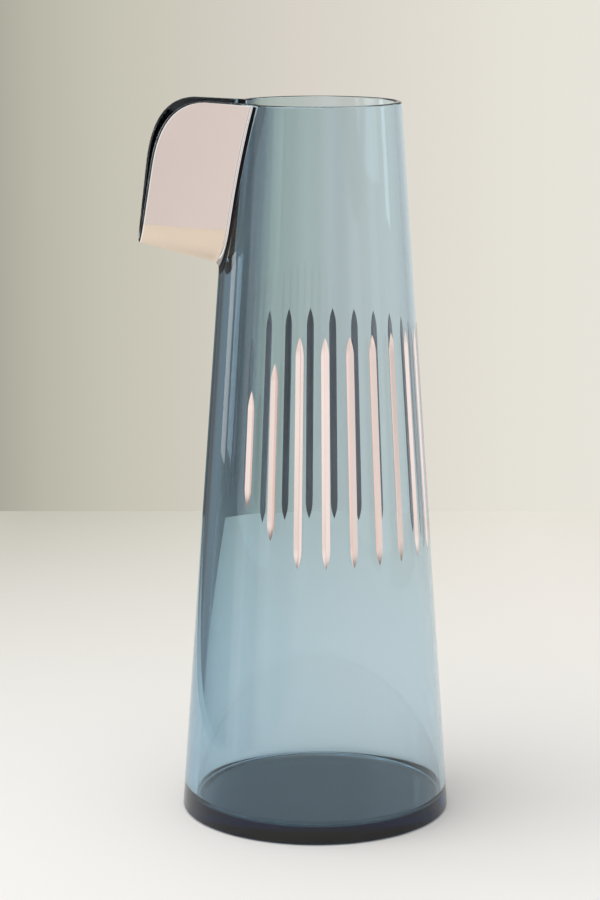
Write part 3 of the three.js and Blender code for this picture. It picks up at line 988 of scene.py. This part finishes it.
CUT_EDGE_ANGLE = math.radians(24)
COAT_EDGE_ANGLE = math.radians(40)


def link_object(name, mesh):
    obj = bpy.data.objects.new(name, mesh)
    bpy.context.scene.collection.objects.link(obj)
    return obj


def hand_over(obj, slot, *nodes):
    """Fixes a finished piece to the body and lets it stand for its nodes."""
    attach(obj, "root")
    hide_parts(*nodes)


class CARAFE_OT_glass(bpy.types.Operator):
    """Builds the glass: body, beak and wheel cuts"""

    bl_idname = "carafe.glass"
    bl_label = "Glass"

    # Rings across a flat bottom, from its middle towards its rounded edge
    BOTTOM_RINGS = (0.2, 0.4, 0.6, 0.8, 0.95)
    ROUND_STEPS = 6
    # Steps between rows of the wall below and above the cuts, and on the inside
    STEPS_BELOW_CUTS = 8
    STEPS_ABOVE_CUTS = 4
    INNER_STEPS = 14
    # A point this close to the wall's cone is shaded as part of it
    ON_CONE = 1e-6

    def execute(self, context):
        scene = context.scene
        body, cuts = scene.carafe_body, scene.carafe_cuts
        shape = GlassShape(body, scene.carafe_beak)
        cut_shape = CutShape(cuts, shape.outer.taper)
        glass = GlassMesh(shape, cut_shape)
        back = body.lip_round
        outer = glass.skin(self.outer_rows(body, cut_shape, shape), False, back)
        inner = glass.skin(self.inner_rows(body, shape), True, back)
        glass.lip(outer, inner, back)
        obj = link_object("glass", glass.finish("glass"))
        values = cut_values(cuts, shape)
        values["Material"] = smoke_blue_glass(scene.carafe_finishes)
        run_tree(obj, press_cuts_tree(), values)
        self.shade(obj.data, shape)
        hand_over(obj, "smoke_blue_glass", "glass_body")
        return {"FINISHED"}

    def rounded_bottom(self, cone, floor_z, rounding):
        """Rows of (inset, height) for a flat bottom and the rounding at its edge."""
        radius = cone.radius(floor_z)
        rows = [(lerp(radius, rounding, part), floor_z) for part in self.BOTTOM_RINGS]
        for step in range(self.ROUND_STEPS + 1):
            angle = math.pi / 2 * step / self.ROUND_STEPS
            rows.append((rounding * (1 - math.sin(angle)), floor_z + rounding * (1 - math.cos(angle))))
        return rows

    @staticmethod
    def between(low, high, steps):
        """Heights that part a stretch of the wall into even steps."""
        return [lerp(low, high, step / steps) for step in range(1, steps)]

    def outer_rows(self, body, cut_shape, shape):
        """Underside, rounded foot and wall, up to just below the beak."""
        rows = self.rounded_bottom(shape.outer, 0, body.foot_round)
        cut_heights = cut_shape.heights()
        top = shape.root_z - shape.beak.root_fillet
        heights = self.between(body.foot_round, cut_heights[0], self.STEPS_BELOW_CUTS)
        heights += cut_heights
        heights += self.between(cut_heights[-1], top, self.STEPS_ABOVE_CUTS)
        return rows + [(0, z) for z in heights]

    def inner_rows(self, body, shape):
        """Floor, fillet and wall inside, up to just below the beak's channel."""
        rows = self.rounded_bottom(shape.bore, body.floor, body.floor_fillet)
        bottom = body.floor + body.floor_fillet
        top = shape.root_z - shape.beak.root_fillet
        return rows + [(0, z) for z in self.between(bottom, top, self.INNER_STEPS)]

    def shade(self, mesh, shape):
        """Smooth shading, exact on the round wall, with sharp edges along the cuts."""
        mesh.set_sharp_from_angle(angle=CUT_EDGE_ANGLE)
        normals = [corner.vector.copy() for corner in mesh.corner_normals]
        places = [vert.co for vert in mesh.vertices]
        for cone, way in ((shape.outer, 1), (shape.bore, -1)):
            on_cone = [cone.off(place) < self.ON_CONE for place in places]
            for face in mesh.polygons:
                if not all(on_cone[vert] for vert in face.vertices):
                    continue
                for corner, vert in zip(face.loop_indices, face.vertices):
                    normals[corner] = cone.outward(places[vert].x, places[vert].y) * way
        mesh.normals_split_custom_set(normals)


class CARAFE_OT_coat(bpy.types.Operator):
    """Lays the metal coat on the outside of the beak"""

    bl_idname = "carafe.coat"
    bl_label = "Beak coat"
    # The coat's metals: its gold, a near-white metal that paints highlight lines along its edges, and a
    # near-black metal that paints shade on its back and a shadow line at its root
    GOLD, EDGE, DARK = range(3)
    # Steps along a line that the painted shadow line and then the painted highlight line at the body take
    # up
    SHADE_LINE_STEPS = 3
    EDGE_STEPS = 2

    def execute(self, context):
        scene = context.scene
        beak, finishes = scene.carafe_beak, scene.carafe_finishes
        shape = GlassShape(scene.carafe_body, beak)
        back = scene.carafe_body.lip_round + beak.coat_margin
        outlines = shape.beak_lines(False, back)
        # One more line just under the lip's top, so that the narrow strip along the top carries the painted
        # highlight
        outlines.insert(-1, shape.side_line(1 - beak.painted_highlight_width / beak.drop, False, back))
        lines = [self.film_line(shape, line) for line in outlines]
        keel, side = lines[: shape.KEEL_LINES + 1], lines[shape.KEEL_LINES :]
        under = self.on_side(reversed(keel), -1) + self.on_side(keel[1:], 1)
        # edge is the near-white metal of the painted highlights, dark the near-black metal of the painted
        # shade
        edge, dark = painted_highlight_gold(finishes), coat_back(finishes)
        side_metals = (side_gold(finishes), edge, dark)
        keel_metals = (keel_gold(finishes), edge, dark)
        top = len(side) - 2
        self.patch(beak, "coat_left", self.on_side(side, -1), -1, side_metals, COAT_NODES[0], top)
        self.patch(beak, "coat_right", self.on_side(side, 1), 1, side_metals, COAT_NODES[1], top)
        self.patch(beak, "coat_underside", under, 1, keel_metals, COAT_NODES[2])
        return {"FINISHED"}

    @staticmethod
    def on_side(lines, side):
        """Lines of points on one side of the beak: side is -1 on the left and 1 on the right."""
        return [[Vector((-s, side * y, z)) for s, y, z in line] for line in lines]

    @staticmethod
    def film_line(shape, line):
        """Points along one line of the coat, from the painted shadow line on the body to the painted
        highlight along the lip.
        """
        points = shape.along_line(line, False)
        root, lip = points[0], points[-1]
        # The coat runs past its root over the body, carrying the painted shadow line there
        past = root + (root - points[1]).normalized() * shape.beak.shadow_line_reach
        rim = Vector((shape.outer.s_at(past.y, past.z), past.y, past.z))
        # Where the painted highlight along the lip begins
        edge = lip + (points[-2] - lip).normalized() * shape.beak.painted_highlight_width
        return [rim, *points[:-1], edge, lip]

    def metal_at(self, step, last_step, on_top):
        """Which of the three metals shows at a step along a line."""
        # The first steps, over the body and the foot of the fillet, are a painted shadow line; the next
        # steps, the last step at the lip and the strip along the lip's top are painted highlight lines
        if step < self.SHADE_LINE_STEPS:
            return self.DARK
        if step < self.SHADE_LINE_STEPS + self.EDGE_STEPS or step == last_step or on_top:
            return self.EDGE
        return self.GOLD

    def patch(self, beak, name, lines, way, metals, node, top=None):
        """A thin closed shell over lines of points, with a near-black back that paints shade.

        way, 1 or -1, sets the front, and top is the number of the strip along the lip's top, which takes
        the painted highlight.
        """
        bm = bmesh.new()
        grid = [[bm.verts.new(place) for place in line] for line in lines]
        for strip, (line_a, line_b) in enumerate(zip(grid, grid[1:])):
            last_step = len(line_a) - 2
            for i in range(last_step + 1):
                corners = [line_a[i], line_a[i + 1], line_b[i + 1], line_b[i]]
                face = bm.faces.new(corners if way > 0 else corners[::-1])
                face.material_index = self.metal_at(i, last_step, strip == top)
        bm.normal_update()
        for vert in bm.verts:
            vert.co += vert.normal * beak.coat_lift
        mesh = bpy.data.meshes.new(name)
        bm.to_mesh(mesh)
        bm.free()
        mesh.shade_smooth()
        obj = link_object(name, mesh)
        for metal in metals:
            obj.data.materials.append(metal)
        solid = obj.modifiers.new("Thickness", "SOLIDIFY")
        solid.thickness = beak.coat
        solid.offset = 1
        # The shell's back and sides take the near-black metal: painted shade
        solid.material_offset = self.DARK
        keep_result(obj)
        obj.data.set_sharp_from_angle(angle=COAT_EDGE_ANGLE)
        hand_over(obj, "rose_gold_coat", node)


class CARAFE_OT_inlays(bpy.types.Operator):
    """Lays the metal foil in the wheel cuts"""

    bl_idname = "carafe.inlays"
    bl_label = "Cut inlays"

    def execute(self, context):
        scene = context.scene
        cuts, finishes = scene.carafe_cuts, scene.carafe_finishes
        shape = GlassShape(scene.carafe_body, scene.carafe_beak)
        obj = link_object("cut_foil", bpy.data.meshes.new("cut_foil"))
        values = cut_values(cuts, shape)
        values["Foil"] = cuts.foil
        values["Bite"] = cuts.bite
        values["Front metal"] = inlay_gold(finishes)
        # The darker back metal paints shade on the inlays' backs
        values["Back metal"] = inlay_back(finishes)
        run_tree(obj, foil_tree(), values)
        obj.data.set_sharp_from_angle(angle=CUT_EDGE_ANGLE)
        hand_over(obj, "rose_gold_inlay", *INLAY_NODES)
        return {"FINISHED"}


# Stage

CAMERA_TURN = math.radians(11.75)
CAMERA_PITCH = math.radians(11.36)
CAMERA_DISTANCE = 1.041
CAMERA_HEIGHT = 0.3556
CAMERA_ASIDE = 0.0062
CAMERA_LENS = 106.45
TABLE_BEHIND = 0.541
TABLE_FRONT = 1.5
TABLE_LEFT = 0.19
TABLE_RIGHT = 0.9
# Near tone of the table; the far tones, darker and warmer, most at the far left, are painted shade
TABLE_NEAR = (0.92, 0.905, 0.885, 1)
TABLE_FAR_LEFT_SHADE = (0.57, 0.56, 0.48, 1)
TABLE_FAR_RIGHT_SHADE = (0.9, 0.865, 0.79, 1)
# Where the table's tones change, from the camera's side, and how the change to the far tones is bent; the
# far tones are painted shade
TABLE_TONE_LEFT = -0.17
TABLE_TONE_RIGHT = 0.13
TABLE_TONE_FRONT = -0.05
TABLE_TONE_BEND = 1.3
TABLE_TOP = -0.2 * MM


def grey(tone):
    return (tone, tone, tone)


# Tones of the room by bearing from the camera's view, in degrees: the wall behind the carafe with a dark
# gap on its left, a dim left side, pale strips beside and behind the camera, and a pale right side.
ROOM_TONES = (
    (-180, grey(0.75)),
    (-174, grey(0.75)),
    (-170, grey(1)),
    (-160, grey(1)),
    (-155, grey(0.7)),
    (-138, grey(0.7)),
    (-135, grey(1)),
    (-124, grey(1)),
    (-121, grey(0.4)),
    (-108, grey(0.4)),
    (-105, grey(1)),
    (-95, grey(1)),
    (-92, grey(0.35)),
    (-32, grey(0.35)),
    (-24, grey(0.1)),
    (-9, grey(0.12)),
    (-6.4, (0.45, 0.44, 0.36)),
    (-4, (0.565, 0.552, 0.456)),
    (0, (0.687, 0.645, 0.584)),
    (5, (0.79, 0.768, 0.694)),
    (15, (0.85, 0.83, 0.78)),
    (60, grey(0.65)),
    (85, grey(1)),
    (140, grey(1)),
    (146, grey(0.6)),
    (157, grey(0.65)),
    (162, grey(1)),
    (171, grey(1)),
    (175, grey(0.75)),
    (180, grey(0.75)),
)
ROOM_ABOVE = (0.22, 0.22, 0.22, 1)
# The room's tones give way to the tone above between these heights, as sines of the angle of view
ROOM_FADE_START = 0.05
ROOM_FADE_END = 0.2
AMBIENT_TONE = (1, 0.99, 0.97, 1)
AMBIENT_STRENGTH = 0.74
LAMP_AIM = Vector((0, 0, 0.15))


class CARAFE_OT_stage(bpy.types.Operator):
    """Sets up the table, the light and the camera"""

    bl_idname = "carafe.stage"
    bl_label = "Stage"

    def execute(self, context):
        self.camera(context.scene)
        self.table()
        self.world(context.scene)
        self.lamps()
        context.scene.view_settings.view_transform = "Standard"
        return {"FINISHED"}

    @staticmethod
    def turned(x, y, z):
        """A place given from the camera's side: x to the right, y away from the camera."""
        return Matrix.Rotation(-CAMERA_TURN, 3, "Z") @ Vector((x, y, z))

    @staticmethod
    def seen_from_camera(tree, coordinates):
        """Coordinates turned to the camera's side: X to the right and Y away from the camera."""
        place = add_node(tree, "ShaderNodeTexCoord").outputs[coordinates]
        turned = add_node(
            tree, "ShaderNodeVectorRotate", {"Vector": place, "Angle": CAMERA_TURN}, rotation_type="Z_AXIS"
        ).outputs[0]
        return add_node(tree, "ShaderNodeSeparateXYZ", {0: turned}).outputs

    @staticmethod
    def part_way(tree, value, start, end):
        """0 where a value is at the start and 1 where it is at the end."""
        return add_node(tree, "ShaderNodeMapRange", {0: value, 1: start, 2: end}).outputs[0]

    def camera(self, scene):
        data = bpy.data.cameras.new("camera")
        data.lens = CAMERA_LENS
        camera = bpy.data.objects.new("camera", data)
        camera.location = self.turned(-CAMERA_ASIDE, -CAMERA_DISTANCE, CAMERA_HEIGHT)
        camera.rotation_euler = (math.pi / 2 - CAMERA_PITCH, 0, -CAMERA_TURN)
        scene.collection.objects.link(camera)
        scene.camera = camera

    def table(self):
        material, tree, shader = new_material("table_top")
        shader.inputs["Roughness"].default_value = 0.6
        xyz = self.seen_from_camera(tree, "Object")
        # The table darkens and warms towards its far edge, most at the far left: painted shade
        to_right = self.part_way(tree, xyz["X"], TABLE_TONE_LEFT, TABLE_TONE_RIGHT)
        to_wall = self.part_way(tree, xyz["Y"], TABLE_TONE_FRONT, TABLE_BEHIND)
        far = mix_colours(tree, to_right, TABLE_FAR_LEFT_SHADE, TABLE_FAR_RIGHT_SHADE)
        tone = mix_colours(tree, maths(tree, "POWER", to_wall, TABLE_TONE_BEND), TABLE_NEAR, far)
        tree.links.new(tone, shader.inputs["Base Color"])
        mesh = bpy.data.meshes.new("table")
        left, right = -TABLE_LEFT, TABLE_RIGHT
        corners = [(left, -TABLE_FRONT), (right, -TABLE_FRONT), (right, TABLE_BEHIND), (left, TABLE_BEHIND)]
        mesh.from_pydata([self.turned(x, y, TABLE_TOP) for x, y in corners], [], [(0, 1, 2, 3)])
        mesh.materials.append(material)
        link_object("table", mesh)

    def world(self, scene):
        world = bpy.data.worlds.new("room")
        scene.world = world
        world.use_nodes = True
        tree = world.node_tree
        tree.nodes.clear()
        xyz = self.seen_from_camera(tree, "Generated")
        bearing = maths(tree, "ARCTAN2", xyz["X"], xyz["Y"])
        across = maths(tree, "MULTIPLY_ADD", bearing, 1 / (2 * math.pi), 0.5)
        ramp = add_node(tree, "ShaderNodeValToRGB", {0: across})
        elements = ramp.color_ramp.elements
        while len(elements) < len(ROOM_TONES):
            elements.new(0.5)
        for element, (degrees, tone) in zip(elements, ROOM_TONES):
            element.position = degrees / 360 + 0.5
            element.color = (*tone, 1)
        rise = self.part_way(tree, xyz["Z"], ROOM_FADE_START, ROOM_FADE_END)
        tone = mix_colours(tree, rise, ramp.outputs["Color"], ROOM_ABOVE)
        seen = add_node(tree, "ShaderNodeBackground", {"Color": tone, "Strength": 1})
        ambient = add_node(
            tree, "ShaderNodeBackground", {"Color": AMBIENT_TONE, "Strength": AMBIENT_STRENGTH}
        )
        path = add_node(tree, "ShaderNodeLightPath").outputs
        shown = maths(tree, "MAXIMUM", path["Is Camera Ray"], path["Is Glossy Ray"])
        shown = maths(tree, "MAXIMUM", shown, path["Is Transmission Ray"])
        mix = add_node(tree, "ShaderNodeMixShader", {0: shown, 1: ambient.outputs[0], 2: seen.outputs[0]})
        output = add_node(tree, "ShaderNodeOutputWorld")
        tree.links.new(mix.outputs[0], output.inputs["Surface"])

    def lamps(self):
        self.lamp("key", bearing=-105, distance=1.4, height=0.5, size=(1.2, 1.2), power=5, mirrored=False)
        self.lamp("strip", bearing=-67, distance=1, height=0.4, size=(0.17, 0.8), power=0.9)
        self.lamp("overhead", bearing=-120, distance=0.5, height=1.5, size=(1.2, 1.2), power=8)

    def lamp(self, name, bearing, distance, height, size, power, mirrored=True):
        """A soft box at a bearing, in degrees, from the camera's view."""
        data = bpy.data.lights.new(name, "AREA")
        data.shape = "RECTANGLE"
        data.size, data.size_y = size
        data.energy = power
        lamp = bpy.data.objects.new(name, data)
        lamp.visible_camera = False
        lamp.visible_glossy = mirrored
        turn = math.radians(bearing)
        lamp.location = self.turned(distance * math.sin(turn), distance * math.cos(turn), height)
        aim = LAMP_AIM - lamp.location
        lamp.rotation_euler = aim.to_track_quat("-Z", "Y").to_euler()
        bpy.context.scene.collection.objects.link(lamp)


# Add-on


class CARAFE_PT_sidebar(bpy.types.Panel):
    """Lists the carafe's pieces and sizes"""

    bl_label = "Water Carafe"
    bl_idname = "CARAFE_PT_sidebar"
    bl_space_type = "VIEW_3D"
    bl_region_type = "UI"
    bl_category = "Carafe"

    def draw(self, context):
        layout = self.layout
        for operator in OPERATORS:
            layout.operator(operator.bl_idname)
        for name in SETTINGS:
            settings = getattr(context.scene, name)
            column = layout.column(align=True)
            for key in settings.bl_rna.properties.keys():
                if key not in ("rna_type", "name"):
                    column.prop(settings, key)


OPERATORS = (CARAFE_OT_glass, CARAFE_OT_coat, CARAFE_OT_inlays, CARAFE_OT_stage)
SETTINGS = {
    "carafe_body": BodySizes,
    "carafe_beak": BeakSizes,
    "carafe_cuts": CutSizes,
    "carafe_finishes": Finishes,
}


def register():
    for cls in (*SETTINGS.values(), *OPERATORS, CARAFE_PT_sidebar):
        bpy.utils.register_class(cls)
    for name, group in SETTINGS.items():
        setattr(bpy.types.Scene, name, bpy.props.PointerProperty(type=group))


def unregister():
    for name in SETTINGS:
        delattr(bpy.types.Scene, name)
    for cls in (CARAFE_PT_sidebar, *reversed(OPERATORS), *reversed(SETTINGS.values())):
        bpy.utils.unregister_class(cls)


def main():
    register()
    bpy.ops.carafe.glass()
    bpy.ops.carafe.coat()
    bpy.ops.carafe.inlays()
    bpy.ops.carafe.stage()


if __name__ == "__main__":
    main()
